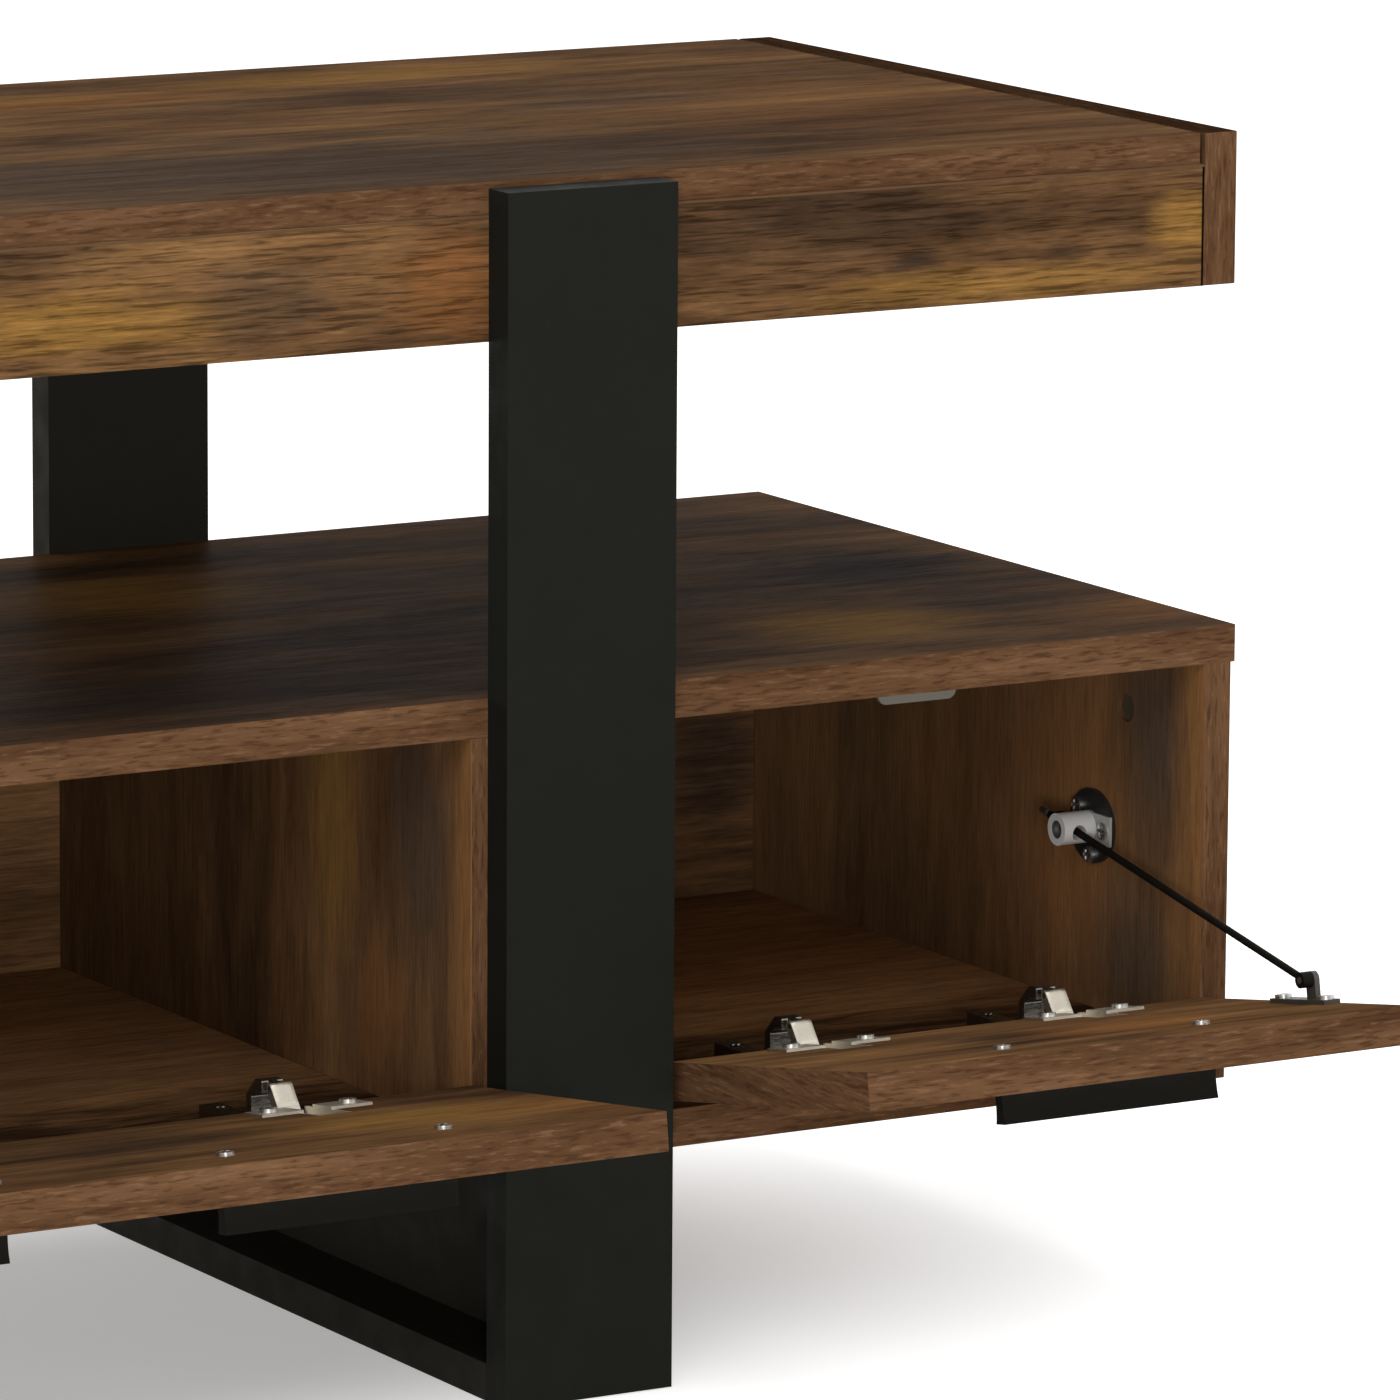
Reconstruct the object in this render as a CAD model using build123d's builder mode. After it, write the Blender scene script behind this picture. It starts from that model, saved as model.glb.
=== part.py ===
"""Lift top coffee table: a drop-flap cabinet between two leg hoops, under a framed top that lifts forward."""
import math
import os

from build123d import *

os.makedirs("parts", exist_ok=True)

# Driving dimensions, in millimetres and degrees
table_length = 1200.0
table_depth = 427.0
table_height = 503.0

board = 16.0
side_thick = 13.0
back_thick = 9.0
back_inset = 14.0

leg_width = 78.5
leg_thick = 16.0
leg_inset = 283.0
leg_drop = 2.5
web_thick = 13.0

cabinet_clearance = 97.0
cabinet_height = 196.0
cabinet_overhang = 2.0
outer_wall_reveal = 3.0
inner_wall_reveal = 7.5

frame_height = 64.5
frame_depth = 383.0
frame_inset = 3.0
top_thick = 13.0
top_side_gap = 1.8
top_setback = 1.0
tray_thick = 9.0
tray_recess = 3.0

narrow_flap_angle = 80.4
wide_flap_angle = 82.4
flap_side_gap = 2.0
flap_bottom_gap = 3.0
flap_top_gap = 2.0
axis_from_face = 4.5
axis_from_edge = 2.5

hinge_from_end = 68.0
wide_hinge_from_end = 83.0
hinge_link_length = 22.0
hinge_link_lean = 3.0
hinge_link_share = 0.434
hinge_pin_radius = 1.2
hinge_eye_radius = 2.2
hinge_nose_width = 4.0
hinge_nose_length = 6.0
hinge_slot_radius = 3.6
hinge_arm_width = 10.0
hinge_arm_thick = 5.0
hinge_arm_reach = 20.0
hinge_arm_length = 61.5
hinge_arm_height = 7.0
hinge_arm_bevel = 8.0
mount_thick = 2.0
mount_width = 14.0
mount_wing_span = 58.0
mount_wing_depth = 16.0
mount_screw_span = 46.0
cup_wall = 1.5
cup_side_gap = 1.2
cup_reach = 38.0
cup_skin = 2.0
flange_from_edge = 15.0
flange_length = 50.0
flange_width = 16.0
flange_thick = 1.2
flange_screw_span = 36.0

handle_length = 103.0
handle_screw_span = 96.0
handle_screw_bite = 8.0
handle_from_free_edge = 31.0
handle_from_flap_end = 131.0
handle_rise = 14.5
handle_root_half = 3.4
handle_neck_half = 2.6
handle_neck_drop = 7.5
handle_lip_half = 3.4

brake_from_front = 84.5
brake_above_floor = 80.0
brake_radius = 7.0
brake_length = 15.8
brake_socket_radius = 4.0
brake_socket_depth = 3.0
stub_radius = 3.0
stub_length = 4.0
stay_plate_thick = 2.0
stay_plate_width = 34.0
stay_plate_height = 32.5
stay_screw_radius = 12.5
stay_upper_screw_bearing = 38.0
stay_lower_screw_bearing = 270.0
stay_ear_bearing = 180.0
stay_base_radius = 7.0
stay_base_thick = 1.3
stay_ear_reach = 17.0
stay_ear_height = 13.0
rod_radius = 1.6
rod_play = 1.8
rod_from_wall = 12.0
rod_tail = 23.5
rod_stop_radius = 4.4
rod_stop_length = 2.5
rod_eye_radius = 3.4
rod_eye_width = 5.0
bracket_from_edge = 96.5
bracket_rise = 10.3
bracket_thick = 2.5
bracket_front_screw = 9.0
bracket_rear_screw = 23.0
bracket_foot_margin = 4.5
bracket_foot_width = 8.0
bracket_foot_thick = 2.0
bracket_pin_radius = 1.4

stop_width = 38.0
stop_drop = 7.0
stop_thick = 2.0
stop_leg = 14.0
stop_screw_span = 24.0
stop_corner = 4.0

cam_radius = 6.0
cam_depth = 11.0
cam_recess = 1.5
cam_from_edge = 60.5
cam_below_roof = 28.5

lift_arm_length = 200.0
lift_arm_width = 12.0
lift_arm_thick = 3.0
lift_high_pivot = 28.0
lift_low_pivot = 12.0
lift_pivot_spacing = 60.0
lift_pivot_from_apron = 32.0
lift_pin_radius = 3.0
lift_rail_thick = 3.0
lift_rail_from_end = 4.0
lift_rail_margin = 18.0
lift_flange_width = 22.0
lift_flange_thick = 2.0
lift_layer_gap = 0.5
cross_bar_radius = 5.0
cross_bar_reach = 45.0

screw_head_radius = 3.6
screw_head_height = 1.5
screw_shank_radius = 1.6
screw_length = 11.0
rail_screw_length = 8.0
leg_screw_head_radius = 5.0
leg_screw_head_height = 3.0
leg_screw_radius = 2.5
leg_screw_bite = 10.0
leg_screw_span = 40.0

# Named clearances
running_fit = 0.05
screw_fit = 0.1
moving_gap = 0.3

# Levels and faces worked out from the driving dimensions
front_y = -table_depth / 2 + leg_thick
back_y = table_depth / 2 - leg_thick
cabinet_end = table_length / 2
side_outer = cabinet_end - cabinet_overhang
side_inner = side_outer - side_thick
cabinet_floor = cabinet_clearance + board
cabinet_roof = cabinet_clearance + cabinet_height - board
back_panel_back = back_y - back_inset
back_panel_front = back_panel_back - back_thick

leg_outer = cabinet_end - leg_inset
leg_inner = leg_outer - leg_width
leg_middle = (leg_outer + leg_inner) / 2
leg_top = table_height - leg_drop
outer_bay_wall = leg_outer + outer_wall_reveal
inner_bay_wall = leg_inner - inner_wall_reveal

frame_end = cabinet_end - frame_inset
frame_inner_end = frame_end - board
frame_bottom = table_height - frame_height
frame_back = front_y + frame_depth
top_underside = table_height - top_thick
tray_bottom = frame_bottom + tray_recess
tray_top = tray_bottom + tray_thick
apron_inner_front = front_y + board
apron_inner_back = frame_back - board

closed_axis_y = front_y + axis_from_face
closed_axis_z = cabinet_floor + flap_bottom_gap + axis_from_edge
link_y = closed_axis_y + hinge_link_length * math.sin(math.radians(hinge_link_lean))
link_z = closed_axis_z + hinge_link_length * math.cos(math.radians(hinge_link_lean))
flap_length = cabinet_roof - cabinet_floor - flap_bottom_gap - flap_top_gap
flap_inner = board - axis_from_face
flap_free_edge = axis_from_edge - flap_length
flap_middle_line = (axis_from_edge + flap_free_edge) / 2

cup_width = hinge_arm_width + 2 * (cup_side_gap + cup_wall)
cup_end = axis_from_edge - cup_reach
cup_line = (axis_from_edge + cup_end) / 2
cup_bottom = cup_skin - axis_from_face
flange_line = axis_from_edge - flange_from_edge
hinge_arm_heel = hinge_arm_reach - hinge_arm_thick
mount_y = link_y + (hinge_arm_heel + hinge_arm_length) / 2
mount_wing_y = link_y + hinge_arm_length - mount_wing_depth / 2
handle_line = flap_free_edge + handle_from_free_edge
handle_screw_length = board + handle_screw_bite
stop_back_y = front_y + board + moving_gap + stop_thick

brake_y = front_y + brake_from_front
brake_z = cabinet_floor + brake_above_floor
stay_face = stay_plate_thick + stay_base_thick
brake_from_wall = stay_face + moving_gap
bracket_lift = flap_inner + bracket_rise
bracket_line = axis_from_edge - bracket_from_edge

lift_front_y = apron_inner_front + lift_pivot_from_apron
lift_rear_y = lift_front_y + lift_pivot_spacing
lift_high_z = tray_top + lift_high_pivot
lift_low_z = tray_top + lift_low_pivot
lift_rail_near = frame_inner_end - lift_rail_from_end
lift_rail_far = lift_rail_near - lift_rail_thick
lift_arm_near = lift_rail_far - lift_layer_gap
lift_arm_far = lift_arm_near - lift_arm_thick
lift_top_near = lift_arm_far - 2 * lift_layer_gap
lift_top_far = lift_top_near - lift_rail_thick

sides = {"left": -1, "right": 1}
bays = {
    "left": (-side_inner, -outer_bay_wall),
    "middle": (-inner_bay_wall, inner_bay_wall),
    "right": (outer_bay_wall, side_inner),
}
flap_angles = {"left": narrow_flap_angle, "middle": wide_flap_angle, "right": narrow_flap_angle}
# The wall that carries each bay's stay, and the direction from it into the bay
stay_walls = {"left": (-side_inner, 1), "middle": (-inner_bay_wall, 1), "right": (side_inner, -1)}


def save(piece, name):
    """Label a finished piece and write it as its own file."""
    piece.part.label = name
    export_step(piece.part, f"parts/{name}.step")


def mirrored(x_faces, side):
    """The two X faces of a right-hand piece, moved to the given side."""
    return sorted(side * face for face in x_faces)


def panel(x_faces, y_faces, z_faces):
    """A flat board given by its two faces along each axis."""
    with BuildPart() as flat_board:
        with BuildSketch(Plane.XY.offset(z_faces[0])):
            with Locations((sum(x_faces) / 2, sum(y_faces) / 2)):
                Rectangle(x_faces[1] - x_faces[0], y_faces[1] - y_faces[0])
        extrude(amount=z_faces[1] - z_faces[0])
    return flat_board


def gathered(pieces):
    """Pieces put together in one node: those that touch join, the others stay apart."""
    with BuildPart() as collection:
        for piece in pieces:
            add(piece.part)
    return collection


def cut(blank, cutters):
    """A piece with holes and pockets taken out of it."""
    with BuildPart() as cut_piece:
        add(blank.part)
        for cutter in cutters:
            add(cutter.part, mode=Mode.SUBTRACT)
    return cut_piece


def bars(seats, radius, length):
    """Round bars that start on the given planes and run along their normals."""
    with BuildPart() as round_bars:
        for seat in seats:
            with BuildSketch(seat):
                Circle(radius)
            extrude(amount=length)
    return round_bars


def screws(seats, length=screw_length, radius=screw_shank_radius,
           head_radius=screw_head_radius, head_height=screw_head_height):
    """Screws whose heads stand on the given planes, with their shanks below."""
    return gathered([bars(seats, head_radius, head_height), bars(seats, radius, -length)])


def screw_holes(seats, length=screw_length, radius=screw_shank_radius):
    """The holes that the shanks of such screws go into."""
    return bars(seats, radius + screw_fit, -(length + screw_fit))


def facing(direction, x, y, z):
    """A plane at a place, facing along the given direction, with its own x along X or Y."""
    sideways = (0, 1, 0) if direction[0] else (1, 0, 0)
    return Plane(origin=(x, y, z), x_dir=sideways, z_dir=direction)


def pair(middle, span):
    """Two places, a span apart about a middle."""
    return middle - span / 2, middle + span / 2


# Places on the flaps and their stays
def hinge_axis(bay):
    """Where an open flap turns on its links, which lean further back the further it opens."""
    lean = math.radians(hinge_link_lean + hinge_link_share * flap_angles[bay])
    return link_y - hinge_link_length * math.sin(lean), link_z - hinge_link_length * math.cos(lean)


def flap_frame(bay):
    """The frame of an open flap: X along its hinge axis, Y away from its free edge, Z off its inner face."""
    tilt = math.radians(90.0 - flap_angles[bay])
    normal = (0, math.sin(tilt), math.cos(tilt))
    return Plane(origin=(0, *hinge_axis(bay)), x_dir=(1, 0, 0), z_dir=normal)


def on_flap(bay, x, along, lift):
    """A plane parallel to an open flap's inner face, at a place given in the flap's own frame."""
    frame = flap_frame(bay)
    return Plane(origin=frame.from_local_coords((x, along, lift)), x_dir=frame.x_dir, z_dir=frame.z_dir)


def flap_ends(bay):
    """The two ends of the flap that closes a bay."""
    return bays[bay][0] + flap_side_gap, bays[bay][1] - flap_side_gap


def hinge_places(bay):
    """Middles of the two hinges of a flap."""
    left_end, right_end = flap_ends(bay)
    inset = wide_hinge_from_end if bay == "middle" else hinge_from_end
    return left_end + inset, right_end - inset


def handle_places(bay):
    """Middles of a flap's handles: one on a narrow flap, two on the wide one."""
    left_end, right_end = flap_ends(bay)
    if bay == "middle":
        return left_end + handle_from_flap_end, right_end - handle_from_flap_end
    return ((left_end + right_end) / 2,)


def rod_x(bay):
    """The plane in which a bay's stay rod swings."""
    wall, inward = stay_walls[bay]
    return wall + inward * rod_from_wall


def stay_plane(bay, from_wall=0.0, bearing=0.0, radius=0.0):
    """A plane facing into the bay from its stay wall, at a bearing and a radius about the brake's axis."""
    wall, inward = stay_walls[bay]
    y = brake_y + radius * math.cos(math.radians(bearing))
    z = brake_z + radius * math.sin(math.radians(bearing))
    return facing((inward, 0, 0), wall + inward * from_wall, y, z)


def rod_pivot(bay):
    """Where the rod's eye turns on the bracket of the open flap."""
    return flap_frame(bay).from_local_coords((rod_x(bay), bracket_line, bracket_lift))


def rod_line(bay):
    """The rod's direction from its eye to the brake, and the distance between them."""
    run = Vector(rod_x(bay), brake_y, brake_z) - rod_pivot(bay)
    return run.normalized(), run.length


def flange_seats(bay):
    """Screw seats on the flanges of a flap's hinge cups."""
    lift = flap_inner + flange_thick
    places = [x for middle in hinge_places(bay) for x in pair(middle, flange_screw_span)]
    return [on_flap(bay, x, flange_line, lift) for x in places]


def handle_seats(bay):
    """Screw seats on the inner face of a flap, behind its handles."""
    places = [x for middle in handle_places(bay) for x in pair(middle, handle_screw_span)]
    return [on_flap(bay, x, handle_line, flap_inner) for x in places]


def bracket_x(bay):
    """The middle of a bracket's upright and foot, on the wall's side of the rod."""
    _, inward = stay_walls[bay]
    return rod_x(bay) - inward * (rod_eye_width / 2 + moving_gap + bracket_thick / 2)


def bracket_seats(bay):
    """Screw seats on the foot of a flap's stay bracket, before and behind its upright."""
    lift = flap_inner + bracket_foot_thick
    lines = (bracket_line - bracket_front_screw, bracket_line + bracket_rear_screw)
    return [on_flap(bay, bracket_x(bay), along, lift) for along in lines]


def mount_seats(bay):
    """Screw seats on the wings of the hinge mounting plates."""
    places = [x for middle in hinge_places(bay) for x in pair(middle, mount_screw_span)]
    return [facing((0, 0, 1), x, mount_wing_y, cabinet_floor + mount_thick) for x in places]


def stay_seats(bay):
    """Screw seats of a stay: two on its wall plate, one on the ear of its base."""
    return [
        stay_plane(bay, stay_plate_thick, stay_upper_screw_bearing, stay_screw_radius),
        stay_plane(bay, stay_plate_thick, stay_lower_screw_bearing, stay_screw_radius),
        stay_plane(bay, stay_face, stay_ear_bearing, stay_screw_radius),
    ]


def stop_seats(bay):
    """Screw seats under the horizontal leg of a flap stop."""
    y = stop_back_y + stop_leg / 2
    places = pair(sum(bays[bay]) / 2, stop_screw_span)
    return [facing((0, 0, -1), x, y, cabinet_roof - stop_thick) for x in places]


# Leg hoops, each a front board, a rear board, a runner and a web
leg_screw_level = (tray_top + top_underside) / 2
leg_screw_places = [x for side in sides.values() for x in pair(side * leg_middle, leg_screw_span)]
front_leg_seats = [facing((0, 1, 0), x, apron_inner_front, leg_screw_level) for x in leg_screw_places]
rear_leg_seats = [facing((0, -1, 0), x, apron_inner_back, leg_screw_level) for x in leg_screw_places]
front_leg_screw_length = board + leg_screw_bite
rear_leg_screw_length = back_y - apron_inner_back + leg_screw_bite
front_leg_holes = screw_holes(front_leg_seats, front_leg_screw_length, leg_screw_radius)
rear_leg_holes = screw_holes(rear_leg_seats, rear_leg_screw_length, leg_screw_radius)

spacers = []
runners = []
webs = []
for side_name, side in sides.items():
    leg_x = mirrored((leg_inner, leg_outer), side)
    web_x = mirrored(pair(leg_middle, web_thick), side)
    front_leg = panel(leg_x, (front_y - leg_thick, front_y), (0, leg_top))
    rear_leg = panel(leg_x, (back_y, back_y + leg_thick), (0, top_underside))
    spacer = panel(leg_x, (frame_back, back_y), (frame_bottom, top_underside))
    spacers.append(cut(spacer, [rear_leg_holes]))
    runners.append(panel(leg_x, (front_y, back_y), (0, leg_thick)))
    webs.append(panel(web_x, (front_y, back_y), (leg_thick, cabinet_clearance)))
    save(cut(front_leg, [front_leg_holes]), f"front_leg_{side_name}")
    save(cut(rear_leg, [rear_leg_holes]), f"rear_leg_{side_name}")
save(gathered(spacers), "leg_spacers")
save(gathered(runners), "runners")
save(gathered(webs), "webs")

# Top frame: aprons and a tray floor between two end boards
rail_middle_y = (lift_front_y + lift_rear_y) / 2
rail_screw_x = lift_rail_far - lift_flange_width / 2
rail_seats = [
    facing((0, 0, 1), side * rail_screw_x, y, tray_top + lift_flange_thick)
    for side in sides.values()
    for y in pair(rail_middle_y, lift_pivot_spacing)
]
rail_holes = screw_holes(rail_seats, rail_screw_length)
apron_x = (-frame_inner_end, frame_inner_end)
apron_z = (frame_bottom, top_underside)
front_apron = panel(apron_x, (front_y, apron_inner_front), apron_z)
back_apron = panel(apron_x, (apron_inner_back, frame_back), apron_z)
tray_floor = panel(apron_x, (apron_inner_front, apron_inner_back), (tray_bottom, tray_top))
save(cut(front_apron, [front_leg_holes]), "front_apron")
save(cut(back_apron, [rear_leg_holes]), "back_apron")
save(cut(tray_floor, [rail_holes]), "tray_floor")
for side_name, side in sides.items():
    end_x = mirrored((frame_inner_end, frame_end), side)
    save(panel(end_x, (front_y, frame_back), (frame_bottom, table_height)), f"end_board_{side_name}")

# Cabinet boards
all_mount_seats = [seat for bay in bays for seat in mount_seats(bay)]
all_stay_seats = [seat for bay in bays for seat in stay_seats(bay)]
all_stop_seats = [seat for bay in bays for seat in stop_seats(bay)]
stay_holes = screw_holes(all_stay_seats)
cam_seats = [
    facing((-side, 0, 0), side * side_inner, y, cabinet_roof - cam_below_roof)
    for side in sides.values()
    for y in (front_y + cam_from_edge, back_panel_front - cam_from_edge)
]
cam_pockets = bars(cam_seats, cam_radius, -cam_depth)
roof_z = (cabinet_roof, cabinet_roof + board)
floor_z = (cabinet_clearance, cabinet_floor)
cabinet_top = panel((-cabinet_end, cabinet_end), (front_y, back_y), roof_z)
cabinet_bottom = panel((-side_inner, side_inner), (front_y, back_y), floor_z)
save(cut(cabinet_top, [screw_holes(all_stop_seats)]), "cabinet_top")
save(cut(cabinet_bottom, [screw_holes(all_mount_seats)]), "cabinet_bottom")
back_y_faces = (back_panel_front, back_panel_back)
save(panel((-side_inner, side_inner), back_y_faces, (cabinet_floor, cabinet_roof)), "cabinet_back")
for side_name, side in sides.items():
    side_x = mirrored((side_inner, side_outer), side)
    side_panel = panel(side_x, (front_y, back_y), (cabinet_clearance, cabinet_roof))
    save(cut(side_panel, [stay_holes, cam_pockets]), f"side_panel_{side_name}")
    walls = []
    for wall_middle in (outer_bay_wall - side_thick / 2, inner_bay_wall + side_thick / 2):
        divider_x = mirrored(pair(wall_middle, side_thick), side)
        divider = panel(divider_x, (front_y, back_panel_front), (cabinet_floor, cabinet_roof))
        walls.append(cut(divider, [stay_holes]))
    save(gathered(walls), f"dividers_{side_name}")

# Cam-lock housings, sunk a little below the side panels' inner faces
cam_faces = [seat.offset(-cam_recess) for seat in cam_seats]
save(bars(cam_faces, cam_radius - screw_fit, cam_recess - cam_depth), "cam_locks")


# Flap stops: angle plates under the cabinet top, just behind the closed flaps
def flap_stop(bay):
    """One angle plate with rounded lower corners."""
    middle = sum(bays[bay]) / 2
    with BuildPart() as angle:
        with BuildSketch(facing((0, -1, 0), middle, stop_back_y, cabinet_roof - stop_drop / 2)) as upright:
            Rectangle(stop_width, stop_drop)
            fillet(upright.vertices().group_by(Axis.Y)[0], stop_corner)
        extrude(amount=stop_thick)
        with BuildSketch(facing((0, 0, -1), middle, stop_back_y + stop_leg / 2, cabinet_roof)):
            Rectangle(stop_width, stop_leg)
        extrude(amount=stop_thick)
    return cut(angle, [screw_holes(stop_seats(bay))])


save(gathered([flap_stop(bay) for bay in bays]), "flap_stops")


# Hinges: a plate and a goose-neck arm on the cabinet floor, a link on the arm, and a cup in the flap
def hinge_mount(x):
    """A mounting plate with two screw wings at its rear end."""
    with BuildPart() as mount:
        with BuildSketch(facing((0, 0, 1), x, mount_y, cabinet_floor)):
            Rectangle(mount_width, hinge_arm_length - hinge_arm_heel)
        with BuildSketch(facing((0, 0, 1), x, mount_wing_y, cabinet_floor)):
            Rectangle(mount_wing_span, mount_wing_depth)
        extrude(amount=mount_thick)
    return mount


def hinge_arm(x):
    """An arm with a narrow nose for the link, over the flap's edge and down to its mounting plate."""
    seat = cabinet_floor + mount_thick - link_z
    top = hinge_eye_radius
    under = top - hinge_arm_thick
    inner_bevel = hinge_arm_bevel - hinge_arm_thick
    with BuildPart() as arm:
        with BuildSketch(facing((1, 0, 0), x - hinge_arm_width / 2, link_y, link_z)):
            with BuildLine():
                Polyline(
                    (hinge_nose_length, top),
                    (hinge_arm_reach - hinge_arm_bevel, top),
                    (hinge_arm_reach, top - hinge_arm_bevel),
                    (hinge_arm_reach, seat + hinge_arm_height),
                    (hinge_arm_length, seat + hinge_arm_height),
                    (hinge_arm_length, seat),
                    (hinge_arm_heel, seat),
                    (hinge_arm_heel, under - inner_bevel),
                    (hinge_arm_heel - inner_bevel, under),
                    (hinge_nose_length, under),
                    close=True,
                )
            make_face()
        extrude(amount=hinge_arm_width)
        with BuildSketch(facing((1, 0, 0), x - hinge_nose_width / 2, link_y, link_z)):
            Circle(hinge_eye_radius)
            with Locations((hinge_nose_length / 2, 0)):
                Rectangle(hinge_nose_length, 2 * hinge_eye_radius)
            Circle(hinge_pin_radius + running_fit, mode=Mode.SUBTRACT)
        extrude(amount=hinge_nose_width)
    return arm


def hinge_link(bay, x):
    """A round-ended link from the arm to the cup, slotted at its upper end for the arm's nose."""
    axis_y, axis_z = hinge_axis(bay)
    middle = (x - hinge_arm_width / 2, (link_y + axis_y) / 2, (link_z + axis_z) / 2)
    with BuildPart() as link:
        with BuildSketch(Plane(origin=middle, x_dir=(0, link_y - axis_y, link_z - axis_z), z_dir=(1, 0, 0))):
            SlotCenterToCenter(hinge_link_length, 2 * hinge_eye_radius)
            with Locations((-hinge_link_length / 2, 0), (hinge_link_length / 2, 0)):
                Circle(hinge_pin_radius + running_fit, mode=Mode.SUBTRACT)
        extrude(amount=hinge_arm_width)
    nose_slot = hinge_nose_width + 2 * moving_gap
    slot_plane = facing((1, 0, 0), x - nose_slot / 2, link_y, link_z)
    return cut(link, [bars([slot_plane], hinge_slot_radius, nose_slot)])


def hinge_cup(bay, x):
    """A cup with an open end below a screw flange, in whose two cheeks the link's lower pin sits."""
    slot_end = cup_end + cup_wall
    with BuildPart() as cup:
        with BuildSketch(on_flap(bay, x, cup_line, cup_bottom)):
            Rectangle(cup_width, cup_reach)
        extrude(amount=flap_inner - cup_bottom)
        with BuildSketch(on_flap(bay, x, flange_line, flap_inner)):
            Rectangle(flange_length, flange_width)
        extrude(amount=flange_thick)
        with BuildSketch(on_flap(bay, x, (axis_from_edge + slot_end) / 2, cup_bottom)):
            Rectangle(cup_width - 2 * cup_wall, axis_from_edge - slot_end)
        extrude(amount=flap_inner + flange_thick - cup_bottom, mode=Mode.SUBTRACT)
        with BuildSketch(facing((1, 0, 0), x - cup_width, *hinge_axis(bay))):
            Circle(hinge_pin_radius + running_fit)
        extrude(amount=2 * cup_width, mode=Mode.SUBTRACT)
    return cup


def cup_pins(bay):
    """The pins that join a flap's cups to their links."""
    length = cup_width - 2 * moving_gap
    seats = [facing((1, 0, 0), x - length / 2, *hinge_axis(bay)) for x in hinge_places(bay)]
    return bars(seats, hinge_pin_radius, length)


all_hinges = [x for bay in bays for x in hinge_places(bay)]
pin_seats = [facing((1, 0, 0), x - hinge_arm_width / 2, link_y, link_z) for x in all_hinges]
mounts = gathered([hinge_mount(x) for x in all_hinges])
save(cut(mounts, [screw_holes(all_mount_seats)]), "hinge_mounts")
save(gathered([hinge_arm(x) for x in all_hinges]), "hinge_arms")
save(bars(pin_seats, hinge_pin_radius, hinge_arm_width), "hinge_pins")
for bay in bays:
    save(gathered([hinge_link(bay, x) for x in hinge_places(bay)]), f"hinge_links_{bay}")


# Stays: an oval plate, a base with a stub, a brake that swivels on the stub, and a rod that slides through it
def stay_plate(bay):
    """The oval plate on the wall."""
    with BuildPart() as plate:
        with BuildSketch(stay_plane(bay)):
            Ellipse(stay_plate_width / 2, stay_plate_height / 2)
        extrude(amount=stay_plate_thick)
    return plate


def stay_base(bay):
    """The thin base on the plate, with an ear towards the front and the stub that carries the brake."""
    with BuildPart() as base:
        with BuildSketch(stay_plane(bay, stay_plate_thick)):
            Circle(stay_base_radius)
        extrude(amount=stay_base_thick)
        with BuildSketch(stay_plane(bay, stay_plate_thick, stay_ear_bearing, stay_ear_reach / 2)):
            Rectangle(stay_ear_reach, stay_ear_height)
        extrude(amount=stay_base_thick)
        with BuildSketch(stay_plane(bay, stay_face)):
            Circle(stub_radius)
        extrude(amount=stub_length)
    return cut(base, [screw_holes(stay_seats(bay))])


def stay_brake(bay):
    """A short cylinder, bored for the stub, hollow at its free end and drilled through for the rod."""
    direction, _ = rod_line(bay)
    brake_middle = Plane(origin=(rod_x(bay), brake_y, brake_z), z_dir=direction)
    free_end = brake_from_wall + brake_length
    body = bars([stay_plane(bay, brake_from_wall)], brake_radius, brake_length)
    bore = bars([stay_plane(bay, brake_from_wall)], stub_radius + running_fit, stub_length)
    socket = bars([stay_plane(bay, free_end)], brake_socket_radius, -brake_socket_depth)
    rod_hole = bars([brake_middle.offset(-2 * brake_radius)], rod_radius + rod_play, 4 * brake_radius)
    return cut(body, [bore, socket, rod_hole])


def stay_rod(bay):
    """A rod with an eye at the flap, a stop collar behind the brake and a tail beyond it."""
    direction, run = rod_line(bay)
    pivot = rod_pivot(bay)
    start = Plane(origin=pivot, z_dir=direction)
    collar = start.offset(run + brake_radius + moving_gap)
    eye_plane = facing((1, 0, 0), pivot.X - rod_eye_width / 2, pivot.Y, pivot.Z)
    blank = gathered([
        bars([start], rod_radius, run + rod_tail),
        bars([collar], rod_stop_radius, rod_stop_length),
        bars([eye_plane], rod_eye_radius, rod_eye_width),
    ])
    return cut(blank, [bars([eye_plane], bracket_pin_radius + running_fit, rod_eye_width)])


def stay_bracket(bay):
    """A footed upright on the flap, with the pin that carries the rod's eye."""
    _, inward = stay_walls[bay]
    pivot = rod_pivot(bay)
    upright_x = bracket_x(bay) + inward * bracket_thick / 2
    upright_face = Plane(
        origin=(upright_x, pivot.Y, pivot.Z), x_dir=flap_frame(bay).y_dir, z_dir=(-inward, 0, 0)
    )
    pin_plane = facing((inward, 0, 0), upright_x, pivot.Y, pivot.Z)
    foot_line = bracket_line + (bracket_rear_screw - bracket_front_screw) / 2
    foot_length = bracket_rear_screw + bracket_front_screw + 2 * bracket_foot_margin
    with BuildPart() as bracket:
        with BuildSketch(on_flap(bay, bracket_x(bay), foot_line, flap_inner)):
            Rectangle(bracket_foot_width, foot_length)
        extrude(amount=bracket_foot_thick)
        with BuildSketch(upright_face):
            Circle(rod_eye_radius)
            with Locations((0, inward * bracket_rise / 2)):
                Rectangle(2 * rod_eye_radius, bracket_rise)
        extrude(amount=bracket_thick)
        with BuildSketch(pin_plane):
            Circle(bracket_pin_radius)
        extrude(amount=rod_eye_width + 2 * moving_gap)
    return cut(bracket, [screw_holes(bracket_seats(bay))])


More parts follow.
